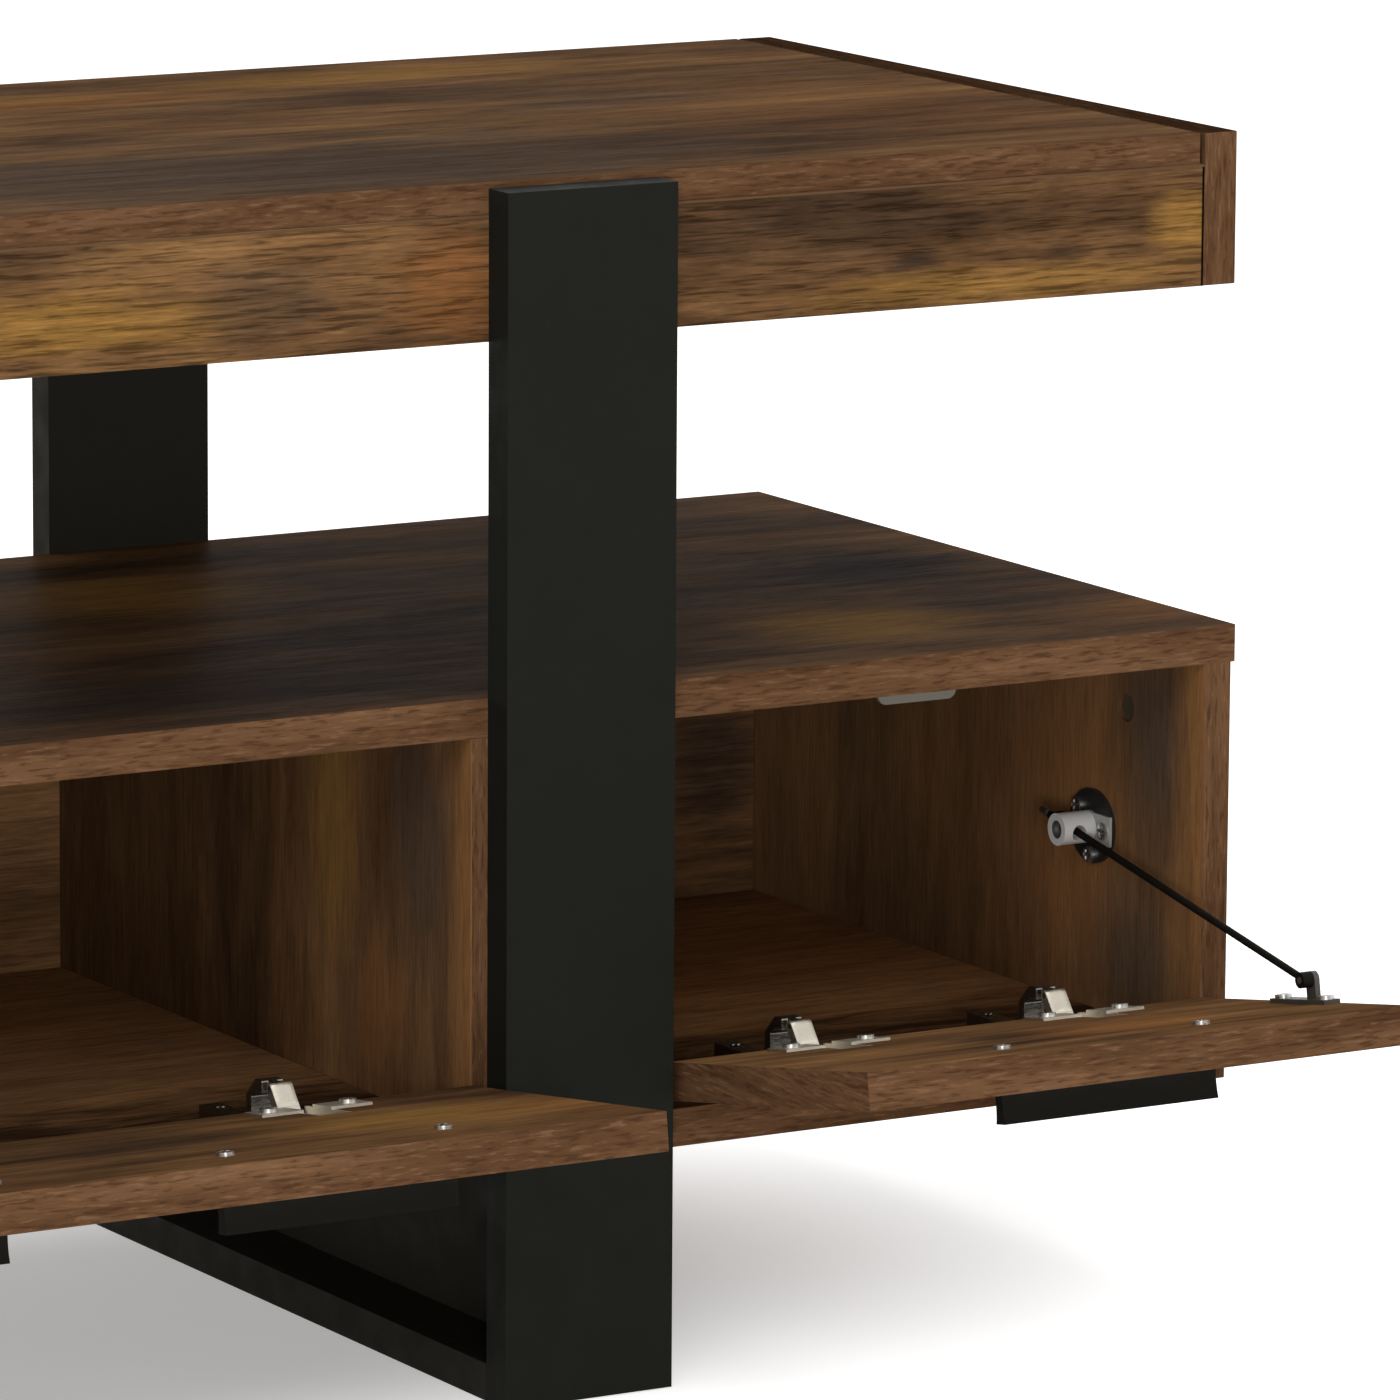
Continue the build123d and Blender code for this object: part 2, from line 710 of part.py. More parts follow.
plates = gathered([stay_plate(bay) for bay in bays])
save(cut(plates, [stay_holes]), "stay_plates")
save(gathered([stay_base(bay) for bay in bays]), "stay_bases")


# Flaps, drawn open as they hang on their stays
def flap_board(bay):
    """One flap with pockets for its hinge cups and holes for its screws."""
    left_end, right_end = flap_ends(bay)
    with BuildPart() as flap:
        with BuildSketch(on_flap(bay, (left_end + right_end) / 2, flap_middle_line, -axis_from_face)):
            Rectangle(right_end - left_end, flap_length)
        extrude(amount=board)
        for x in hinge_places(bay):
            with BuildSketch(on_flap(bay, x, cup_line, cup_bottom)):
                Rectangle(cup_width, cup_reach)
            extrude(amount=flap_inner - cup_bottom, mode=Mode.SUBTRACT)
    small_holes = screw_holes(flange_seats(bay) + bracket_seats(bay))
    return cut(flap, [small_holes, screw_holes(handle_seats(bay), handle_screw_length)])


def flap_handle(bay, x):
    """A pull with a waisted section that flares to a finger lip."""
    frame = flap_frame(bay)
    end = frame.from_local_coords((x - handle_length / 2, handle_line, -axis_from_face))
    root = (handle_root_half, 0)
    neck = (handle_neck_half, -handle_neck_drop)
    lip = (handle_lip_half, -handle_rise)
    with BuildPart() as pull:
        with BuildSketch(Plane(origin=end, x_dir=frame.y_dir, z_dir=(1, 0, 0))):
            with BuildLine() as half_section:
                Line((0, 0), root)
                ThreePointArc(root, neck, lip)
                Line(lip, (0, -handle_rise))
                mirror(half_section.line, about=Plane.YZ)
            make_face()
        extrude(amount=handle_length)
    return cut(pull, [screw_holes(handle_seats(bay), handle_screw_length)])


for bay in bays:
    cups = gathered([hinge_cup(bay, x) for x in hinge_places(bay)])
    drilled_cups = cut(cups, [screw_holes(flange_seats(bay))])
    small_screws = screws(flange_seats(bay) + bracket_seats(bay))
    handle_screws = screws(handle_seats(bay), handle_screw_length)
    save(flap_board(bay), f"flap_{bay}")
    save(gathered([drilled_cups, cup_pins(bay)]), f"hinge_cups_{bay}")
    save(gathered([flap_handle(bay, x) for x in handle_places(bay)]), f"handle_{bay}")
    save(stay_bracket(bay), f"stay_bracket_{bay}")
    save(gathered([small_screws, handle_screws]), f"flap_screws_{bay}")
    save(stay_brake(bay), f"stay_brake_{bay}")
    save(stay_rod(bay), f"stay_rod_{bay}")

# Lift: base rails on the tray floor, two arms at each end, rails under the top, all on round pins
front_base_pivot = (lift_front_y, lift_high_z)
rear_base_pivot = (lift_rear_y, lift_low_z)
front_top_pivot = (lift_front_y + lift_arm_length, lift_high_z)
rear_top_pivot = (lift_rear_y + lift_arm_length, lift_low_z)


def across(x, pivots):
    """Planes at the given pivots, on a face at x of each end's mechanism, facing inwards."""
    return [facing((-side, 0, 0), side * x, y, z) for side in sides.values() for y, z in pivots]


def lift_arms(pivot):
    """The pair of round-ended arms that turn on one base pivot at the table's two ends."""
    middle_y = pivot[0] + lift_arm_length / 2
    with BuildPart() as arms:
        for side in sides.values():
            with BuildSketch(facing((-side, 0, 0), side * lift_arm_near, middle_y, pivot[1])):
                SlotCenterToCenter(lift_arm_length, lift_arm_width)
                with Locations((-lift_arm_length / 2, 0), (lift_arm_length / 2, 0)):
                    Circle(lift_pin_radius + running_fit, mode=Mode.SUBTRACT)
            extrude(amount=lift_arm_thick)
    return arms


base_pivots = [front_base_pivot, rear_base_pivot]
top_pivots = [front_top_pivot, rear_top_pivot]
base_rail_y = (lift_front_y - lift_rail_margin, lift_rear_y + lift_rail_margin)
top_rail_y = (base_rail_y[0] + lift_arm_length, base_rail_y[1] + lift_arm_length)
base_plate_z = (tray_top, lift_high_z + lift_arm_width / 2)
top_plate_z = (lift_low_z - lift_arm_width / 2, top_underside)
base_flange_z = (tray_top, tray_top + lift_flange_thick)
top_flange_z = (top_underside - lift_flange_thick, top_underside)
base_rails = []
top_rails = []
for side in sides.values():
    base_plate_x = mirrored((lift_rail_far, lift_rail_near), side)
    base_flange_x = mirrored((lift_rail_far - lift_flange_width, lift_rail_far), side)
    top_plate_x = mirrored((lift_top_far, lift_top_near), side)
    top_flange_x = mirrored((lift_top_far - lift_flange_width, lift_top_far), side)
    base_rails.append(panel(base_plate_x, base_rail_y, base_plate_z))
    base_rails.append(panel(base_flange_x, base_rail_y, base_flange_z))
    top_rails.append(panel(top_plate_x, top_rail_y, top_plate_z))
    top_rails.append(panel(top_flange_x, top_rail_y, top_flange_z))

top_screw_x = lift_top_far - lift_flange_width / 2
top_screw_seats = [
    facing((0, 0, -1), side * top_screw_x, y, top_underside - lift_flange_thick)
    for side in sides.values()
    for y in pair(sum(top_rail_y) / 2, lift_pivot_spacing)
]
top_screw_holes = screw_holes(top_screw_seats)
base_pin_length = lift_rail_near - lift_arm_far + lift_layer_gap
top_pin_length = lift_arm_near - lift_top_far
pin_hole_radius = lift_pin_radius + running_fit
base_pin_holes = bars(across(lift_rail_near, base_pivots), pin_hole_radius, lift_rail_thick)
top_pin_holes = bars(across(lift_top_near, top_pivots), pin_hole_radius, lift_rail_thick)
save(cut(gathered(base_rails), [base_pin_holes, rail_holes]), "lift_base_rails")
save(cut(gathered(top_rails), [top_pin_holes, top_screw_holes]), "lift_top_rails")
save(bars(across(lift_rail_near, base_pivots), lift_pin_radius, base_pin_length), "lift_base_pins")
save(bars(across(lift_arm_near, top_pivots), lift_pin_radius, top_pin_length), "lift_top_pins")
save(lift_arms(front_base_pivot), "lift_front_arms")
save(lift_arms(rear_base_pivot), "lift_rear_arms")
cross_bar_start = facing((1, 0, 0), -lift_arm_far, lift_front_y + cross_bar_reach, lift_high_z)
save(bars([cross_bar_start], cross_bar_radius, 2 * lift_arm_far), "lift_cross_bar")
save(screws(top_screw_seats), "lift_top_screws")

# Screws that hold the fixed parts together
leg_screw_head = (leg_screw_radius, leg_screw_head_radius, leg_screw_head_height)
fixed_screws = [
    screws(front_leg_seats, front_leg_screw_length, *leg_screw_head),
    screws(rear_leg_seats, rear_leg_screw_length, *leg_screw_head),
    screws(rail_seats, rail_screw_length),
    screws(all_mount_seats + all_stay_seats + all_stop_seats),
]
save(gathered(fixed_screws), "fixed_screws")

# The lifting top, between the end boards and on the aprons
lift_top_end = frame_inner_end - top_side_gap
lift_top_y = (front_y + top_setback, frame_back)
lift_top = panel((-lift_top_end, lift_top_end), lift_top_y, (top_underside, table_height))
save(cut(lift_top, [top_screw_holes]), "lift_top")
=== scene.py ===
import math

import bmesh
import bpy
from mathutils import Matrix, Vector


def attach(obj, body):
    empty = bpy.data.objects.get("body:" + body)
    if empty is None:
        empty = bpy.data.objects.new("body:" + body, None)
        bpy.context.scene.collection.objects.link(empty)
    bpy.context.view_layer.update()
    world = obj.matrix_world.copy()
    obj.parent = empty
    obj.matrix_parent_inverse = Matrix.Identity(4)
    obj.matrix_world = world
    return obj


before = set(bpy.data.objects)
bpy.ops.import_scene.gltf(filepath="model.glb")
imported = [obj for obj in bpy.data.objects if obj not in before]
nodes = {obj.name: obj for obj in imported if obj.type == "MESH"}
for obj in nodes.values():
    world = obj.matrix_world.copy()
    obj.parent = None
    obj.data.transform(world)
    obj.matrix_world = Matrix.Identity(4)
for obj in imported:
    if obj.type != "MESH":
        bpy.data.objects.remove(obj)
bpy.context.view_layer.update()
scene = bpy.context.scene
scene.view_settings.view_transform = "Standard"

BAYS = ("left", "middle", "right")
SIDES = ("left", "right")
AXES = "XYZ"
ACROSS = Vector((1.0, 0.0, 0.0))
UP = Vector((0.0, 0.0, 1.0))
MERGE_DISTANCE = 0.00001

# Camera, at the photograph's viewing angle
CAMERA_PLACE = (-1.6635, -3.6089, 1.0151)
CAMERA_ANGLES = (30.4, 10.48, 0.35)
SENSOR_WIDTH = 36.0
LENS_LENGTH = 252.56
FAR_CLIP = 50.0


def place_camera():
    """The angles are azimuth, pitch and roll in degrees; the sensor and the lens are in millimetres."""
    azimuth, pitch, roll = (math.radians(angle) for angle in CAMERA_ANGLES)
    forward = Vector((math.sin(azimuth) * math.cos(pitch), math.cos(azimuth) * math.cos(pitch),
                      -math.sin(pitch)))
    level_right = Vector((math.cos(azimuth), -math.sin(azimuth), 0.0))
    level_up = level_right.cross(forward)
    right = level_right * math.cos(roll) + level_up * math.sin(roll)
    up = level_up * math.cos(roll) - level_right * math.sin(roll)
    camera = bpy.data.objects.new("camera", bpy.data.cameras.new("camera"))
    scene.collection.objects.link(camera)
    place = Matrix((right, up, -forward)).transposed().to_4x4()
    place.translation = CAMERA_PLACE
    camera.matrix_world = place
    camera.data.sensor_width = SENSOR_WIDTH
    camera.data.lens = LENS_LENGTH
    camera.data.clip_end = FAR_CLIP
    scene.camera = camera


# Short calls for shader nodes; a Mix node's sockets are its first value, its second value and its result
MIX_SOCKETS = {"FLOAT": (2, 3, 0), "VECTOR": (4, 5, 1), "RGBA": (6, 7, 2)}


class Graph:
    """A node tree, with one call for each kind of node that the materials use."""

    def __init__(self, tree):
        self.tree = tree

    def add(self, kind, settings=None, **inputs):
        node = self.tree.nodes.new(kind)
        for name, value in (settings or {}).items():
            setattr(node, name, value)
        for name, value in inputs.items():
            self.put(node.inputs[name.replace("_", " ")], value)
        return node

    def put(self, socket, value):
        if isinstance(value, bpy.types.NodeSocket):
            self.tree.links.new(value, socket)
        else:
            socket.default_value = value

    def maths(self, operation, *values):
        node = self.add("ShaderNodeMath", {"operation": operation})
        for socket, value in zip(node.inputs, values):
            self.put(socket, value)
        return node.outputs[0]

    def vector(self, operation, *values):
        node = self.add("ShaderNodeVectorMath", {"operation": operation})
        for socket, value in zip(node.inputs, values):
            self.put(socket, value)
        return node.outputs["Value" if operation == "LENGTH" else "Vector"]

    def noise(self, place, stretch, detail=3.0, roughness=0.55, distortion=0.0):
        scaled = self.vector("MULTIPLY", place, stretch)
        return self.add("ShaderNodeTexNoise", Vector=scaled, Scale=1.0, Detail=detail,
                        Roughness=roughness, Distortion=distortion).outputs["Fac"]

    def smooth(self, value, low, high, to_low=0.0, to_high=1.0):
        node = self.add("ShaderNodeMapRange", {"interpolation_type": "SMOOTHSTEP"}, Value=value,
                        From_Min=low, From_Max=high, To_Min=to_low, To_Max=to_high)
        return node.outputs["Result"]

    def ramp(self, value, stops):
        node = self.add("ShaderNodeValToRGB", Fac=value)
        elements = node.color_ramp.elements
        while len(elements) < len(stops):
            elements.new(0.5)
        for element, (position, colour) in zip(elements, stops):
            element.position = position
            element.color = (*colour, 1.0)
        return node.outputs["Color"]

    def mix(self, kind, share, first, second):
        node = self.add("ShaderNodeMix", {"data_type": kind})
        first_place, second_place, result_place = MIX_SOCKETS[kind]
        self.put(node.inputs[0], share)
        for index, value in ((first_place, first), (second_place, second)):
            is_plain_colour = kind == "RGBA" and isinstance(value, tuple)
            self.put(node.inputs[index], (*value, 1.0) if is_plain_colour else value)
        return node.outputs[result_place]

    def shaded(self, colour, factor):
        node = self.add("ShaderNodeVectorMath", {"operation": "SCALE"}, Vector=colour, Scale=factor)
        return node.outputs["Vector"]

    def bump(self, height, distance, strength):
        node = self.add("ShaderNodeBump", Height=height, Distance=distance, Strength=strength)
        return node.outputs["Normal"]


def new_group(name, inputs, outputs):
    tree = bpy.data.node_groups.new(name, "ShaderNodeTree")
    for label, kind in inputs:
        tree.interface.new_socket(label, in_out="INPUT", socket_type=kind)
    for label, kind in outputs:
        tree.interface.new_socket(label, in_out="OUTPUT", socket_type=kind)
    given = tree.nodes.new("NodeGroupInput").outputs
    out = tree.nodes.new("NodeGroupOutput").inputs
    return Graph(tree), given, out


def new_material(name):
    material = bpy.data.materials.new(name)
    material.use_nodes = True
    graph = Graph(material.node_tree)
    return material, graph, material.node_tree.nodes["Principled BSDF"]


def toned(colour, factor):
    return tuple(channel * factor for channel in colour)


# Printed rustic wood: broad clouds of colour under streaks and pores, and an edge band with short flecks;
# some of the patches are painted shade and painted light rather than print
CLOUD_COLOURS = [
    (0.30, (0.040, 0.0230, 0.0136)),
    (0.42, (0.088, 0.0460, 0.0217)),
    (0.54, (0.143, 0.0730, 0.0316)),
    (0.70, (0.228, 0.1200, 0.0470)),
]
PATCH_COLOURS = {
    "gold": (0.290, 0.150, 0.038),
    "rust": (0.215, 0.090, 0.030),
    "grey": (0.070, 0.046, 0.031),
    "char": (0.026, 0.018, 0.015),
    # painted light: a lighter strip laid where light reaches the front of the bay walls
    "painted_light_strip": (0.205, 0.097, 0.036),
    # painted shade: a near-black brown laid where the bays are in shade
    "painted_shade_patch": (0.020, 0.010, 0.005),
}
EDGE_COLOURS = [
    (0.30, (0.078, 0.0365, 0.0170)),
    (0.50, (0.124, 0.0610, 0.0290)),
    (0.70, (0.176, 0.0910, 0.0450)),
]
DARK_DASH = (0.046, 0.0210, 0.0105)
LIGHT_DASH = (0.265, 0.1460, 0.0800)

# Cells of noise to the metre: along the grain, across it and through the board
BROAD_CLOUDS = (2.4, 13.0, 13.0)
SMALL_CLOUDS = (10.0, 42.0, 42.0)
PATCH_RIMS = (14.0, 70.0, 70.0)
STREAKS = (8.0, 120.0, 120.0)
STROKES = (36.0, 600.0, 600.0)
FIBRES = (120.0, 1300.0, 1300.0)
EDGE_BANDS = (7.0, 90.0, 90.0)
EDGE_DASHES = (90.0, 760.0, 760.0)

SEED_STEPS = (3.1, 1.7, 0.9)
LOOKING_THAT_WAY = (0.55, 0.8)
PATCH_DEPTH = 0.02
PATCH_RAGGEDNESS = 1.6
PATCH_OUTSIDE, PATCH_INSIDE = 2.0, 1.05
WOOD_RELIEF, WOOD_RELIEF_STRENGTH = 0.00020, 0.35


def make_grain_group():
    """Streaks, short strokes and fibres over a broad colour."""
    graph, given, out = new_group(
        "rustic_grain",
        [("Grain", "NodeSocketVector"), ("Color", "NodeSocketColor"), ("Streaks", "NodeSocketFloat"),
         ("Strokes", "NodeSocketFloat")],
        [("Color", "NodeSocketColor"), ("Height", "NodeSocketFloat")])
    grain = given["Grain"]
    streaks = graph.noise(grain, STREAKS, detail=4.0, roughness=0.62, distortion=0.3)
    strokes = graph.noise(grain, STROKES, detail=3.0, roughness=0.60, distortion=0.35)
    fibres = graph.noise(grain, FIBRES, detail=2.0, roughness=0.5)
    dark = graph.maths("MULTIPLY", graph.smooth(strokes, 0.50, 0.66), given["Strokes"])
    light = graph.maths("MULTIPLY", graph.smooth(strokes, 0.46, 0.34), given["Strokes"])
    streaked = graph.smooth(streaks, 0.28, 0.72, -0.5, 0.5)
    shade = graph.maths("MULTIPLY_ADD", streaked, given["Streaks"], 1.0)
    shade = graph.maths("MULTIPLY", shade, graph.maths("MULTIPLY_ADD", dark, -0.52, 1.0))
    shade = graph.maths("MULTIPLY", shade, graph.maths("MULTIPLY_ADD", light, 0.30, 1.0))
    shade = graph.maths("MULTIPLY", shade, graph.smooth(fibres, 0.25, 0.75, 0.88, 1.12))
    ridges = graph.maths("ADD", streaks, fibres)
    graph.put(out["Color"], graph.shaded(given["Color"], shade))
    graph.put(out["Height"], graph.maths("MULTIPLY_ADD", dark, -0.8, ridges))
    return graph.tree


def make_edge_group():
    """An edge band: brown, with short dark and light dashes along it."""
    graph, given, out = new_group(
        "rustic_edge", [("Grain", "NodeSocketVector")],
        [("Color", "NodeSocketColor"), ("Height", "NodeSocketFloat")])
    grain = given["Grain"]
    bands = graph.noise(grain, EDGE_BANDS, detail=4.0, roughness=0.6, distortion=0.3)
    dashes = graph.noise(grain, EDGE_DASHES, detail=3.0, roughness=0.55, distortion=0.35)
    colour = graph.ramp(bands, EDGE_COLOURS)
    colour = graph.mix("RGBA", graph.smooth(dashes, 0.52, 0.66, 0.0, 0.60), colour, DARK_DASH)
    colour = graph.mix("RGBA", graph.smooth(dashes, 0.44, 0.32, 0.0, 0.38), colour, LIGHT_DASH)
    graph.put(out["Color"], colour)
    graph.put(out["Height"], graph.maths("ADD", bands, dashes))
    return graph.tree


grain_group = make_grain_group()
edge_group = make_edge_group()


def clouded(graph, along, tone, contrast):
    """A board's broad colour: clouds of two sizes, from dark to light."""
    broad = graph.noise(along, BROAD_CLOUDS, detail=3.0, roughness=0.55, distortion=0.5)
    small = graph.noise(along, SMALL_CLOUDS, detail=4.0, roughness=0.6, distortion=0.5)
    level = graph.maths("MULTIPLY_ADD", small, 0.55, graph.maths("MULTIPLY_ADD", broad, 0.75, -0.15))
    level = graph.maths("MULTIPLY_ADD", level, contrast, 0.5 - 0.5 * contrast)
    return graph.ramp(level, [(stop, toned(colour, tone)) for stop, colour in CLOUD_COLOURS])


def patched(graph, colour, place, along, patches, tone):
    """Ragged patches over a colour, each with a kind, a strength, a centre and radii."""
    ragged = graph.noise(along, PATCH_RIMS, detail=5.0, roughness=0.65, distortion=0.6)
    for kind, strength, centre, radii in patches:
        offset = graph.vector("DIVIDE", graph.vector("SUBTRACT", place, centre), radii)
        reach = graph.maths("MULTIPLY_ADD", ragged, PATCH_RAGGEDNESS, graph.vector("LENGTH", offset))
        share = graph.smooth(reach, PATCH_OUTSIDE, PATCH_INSIDE, 0.0, strength)
        colour = graph.mix("RGBA", share, colour, toned(PATCH_COLOURS[kind], tone))
    return colour


def lined(graph, colour, axes, lines):
    """Thin drawn lines over a colour, each across one axis at a place, with half its width and its colour."""
    for axis, line_place, half_width, line_colour in lines:
        away = graph.maths("ABSOLUTE", graph.maths("SUBTRACT", axes[axis], line_place))
        share = graph.smooth(away, half_width * 1.4, half_width * 0.6)
        colour = graph.mix("RGBA", share, colour, line_colour)
    return colour


def wood(name, grain, face, seed, patches=(), tone=1.0, clouds=1.0, streaks=0.5, strokes=0.5,
         gloss=0.0, lines=(), upper_edge_painted_shade=1.0):
    """A board: the axis of its grain and the one that its broad faces look along, then its patches,
    brightness, partly painted light and shade, contrast of clouds, streaks and strokes, gloss, lines and the
    painted shade on its upper edge."""
    material, graph, shader = new_material(name)
    coordinates = graph.add("ShaderNodeTexCoord").outputs
    place = coordinates["Object"]
    axes = graph.add("ShaderNodeSeparateXYZ", Vector=place).outputs
    facing = graph.add("ShaderNodeSeparateXYZ", Vector=coordinates["Normal"]).outputs
    across = next(axis for axis in AXES if axis not in (grain, face))
    shift = tuple(seed * step for step in SEED_STEPS)

    def ordered(*order):
        combined = graph.add("ShaderNodeCombineXYZ")
        for socket, axis in zip(combined.inputs, order):
            graph.put(socket, axes[axis])
        return graph.vector("ADD", combined.outputs[0], shift)

    along = ordered(grain, across, face)
    colour = patched(graph, clouded(graph, along, tone, clouds), place, along, patches, tone)
    broad_faces = graph.add("ShaderNodeGroup", {"node_tree": grain_group}, Grain=along, Color=colour,
                            Streaks=streaks, Strokes=strokes).outputs
    face_colour = lined(graph, broad_faces["Color"], axes, lines)

    end_grain = graph.smooth(graph.maths("ABSOLUTE", facing[grain]), *LOOKING_THAT_WAY)
    edge_run = graph.mix("VECTOR", end_grain, along, ordered(across, grain, face))
    edges = graph.add("ShaderNodeGroup", {"node_tree": edge_group}, Grain=edge_run).outputs
    # painted shade: edge faces that look up are scaled darker by the board's upper-edge setting
    painted_edge_shade = graph.smooth(facing["Z"], *LOOKING_THAT_WAY, 1.0, upper_edge_painted_shade)
    edge_colour = graph.shaded(edges["Color"], painted_edge_shade)

    is_face = graph.smooth(graph.maths("ABSOLUTE", facing[face]), *LOOKING_THAT_WAY)
    height = graph.mix("FLOAT", is_face, edges["Height"], broad_faces["Height"])
    graph.put(shader.inputs["Base Color"], graph.mix("RGBA", is_face, edge_colour, face_colour))
    graph.put(shader.inputs["Roughness"], graph.smooth(height, 0.3, 1.3, 0.62, 0.46))
    graph.put(shader.inputs["Normal"], graph.bump(height, WOOD_RELIEF, WOOD_RELIEF_STRENGTH))
    shader.inputs["Specular IOR Level"].default_value = gloss
    return material


# Coated board, metals and plastics
def coated(name, colour, roughness, speckle, scale, relief, specular=0.4):
    """A finish with a faint cloud of lighter and darker tone, a fine relief and uneven gloss."""
    material, graph, shader = new_material(name)
    place = graph.add("ShaderNodeTexCoord").outputs["Object"]
    clouds = graph.noise(place, (scale * 0.06,) * 3, detail=4.0, roughness=0.6)
    grit = graph.noise(place, (scale,) * 3, detail=3.0, roughness=0.55)
    level = graph.maths("MULTIPLY_ADD", grit, 0.5, graph.maths("MULTIPLY", clouds, 0.5))
    stops = [(0.3, toned(colour, 1.0 - speckle)), (0.7, toned(colour, 1.0 + speckle))]
    uneven = graph.smooth(clouds, 0.3, 0.7, roughness * 0.85, roughness * 1.15)
    graph.put(shader.inputs["Base Color"], graph.ramp(level, stops))
    graph.put(shader.inputs["Roughness"], uneven)
    graph.put(shader.inputs["Normal"], graph.bump(grit, relief, 0.4))
    shader.inputs["Specular IOR Level"].default_value = specular
    return material


def brushed(name, colour, roughness, stretch, relief):
    """Plated steel with fine drawn lines."""
    material, graph, shader = new_material(name)
    place = graph.add("ShaderNodeTexCoord").outputs["Object"]
    lines = graph.noise(place, stretch, detail=3.0, roughness=0.6)
    stains = graph.noise(place, (60.0, 60.0, 60.0), detail=3.0, roughness=0.6)
    stops = [(0.35, toned(colour, 0.86)), (0.65, colour)]
    uneven = graph.smooth(lines, 0.3, 0.7, roughness * 0.7, roughness * 1.3)
    graph.put(shader.inputs["Base Color"], graph.ramp(stains, stops))
    graph.put(shader.inputs["Roughness"], uneven)
    graph.put(shader.inputs["Normal"], graph.bump(lines, relief, 0.3))
    shader.inputs["Metallic"].default_value = 1.0
    return material


EASE_SEGMENTS = 2
EASE_ANGLE = 40.0


def give(material, *names):
    for name in names:
        slots = nodes[name].data.materials
        slots.clear()
        slots.append(material)


def soften(width, *names):
    """Eased edges on boards and hardware, so that they catch the light."""
    for name in names:
        modifiers = nodes[name].modifiers
        modifiers.new("weld", "WELD").merge_threshold = MERGE_DISTANCE
        bevel = modifiers.new("eased", "BEVEL")
        bevel.width = width
        bevel.segments = EASE_SEGMENTS
        bevel.limit_method = "ANGLE"
        bevel.angle_limit = math.radians(EASE_ANGLE)
        modifiers.new("flat_faces", "WEIGHTED_NORMAL").weight = 100


def reach_along(node, direction):
    """How far a node's points reach along a direction."""
    return max(vertex.co.dot(direction) for vertex in nodes[node].data.vertices)


def face_patches(node, axis, side, rows, depth=PATCH_DEPTH):
    """Patches on a board's face on one side of an axis, from rows of kind, strength, centre and radii."""
    at = AXES.index(axis)
    level = side * max(side * vertex.co[at] for vertex in nodes[node].data.vertices)
    return [(kind, strength, (*centre[:at], level, *centre[at:]), (*radii[:at], depth, *radii[at:]))
            for kind, strength, centre, radii in rows]
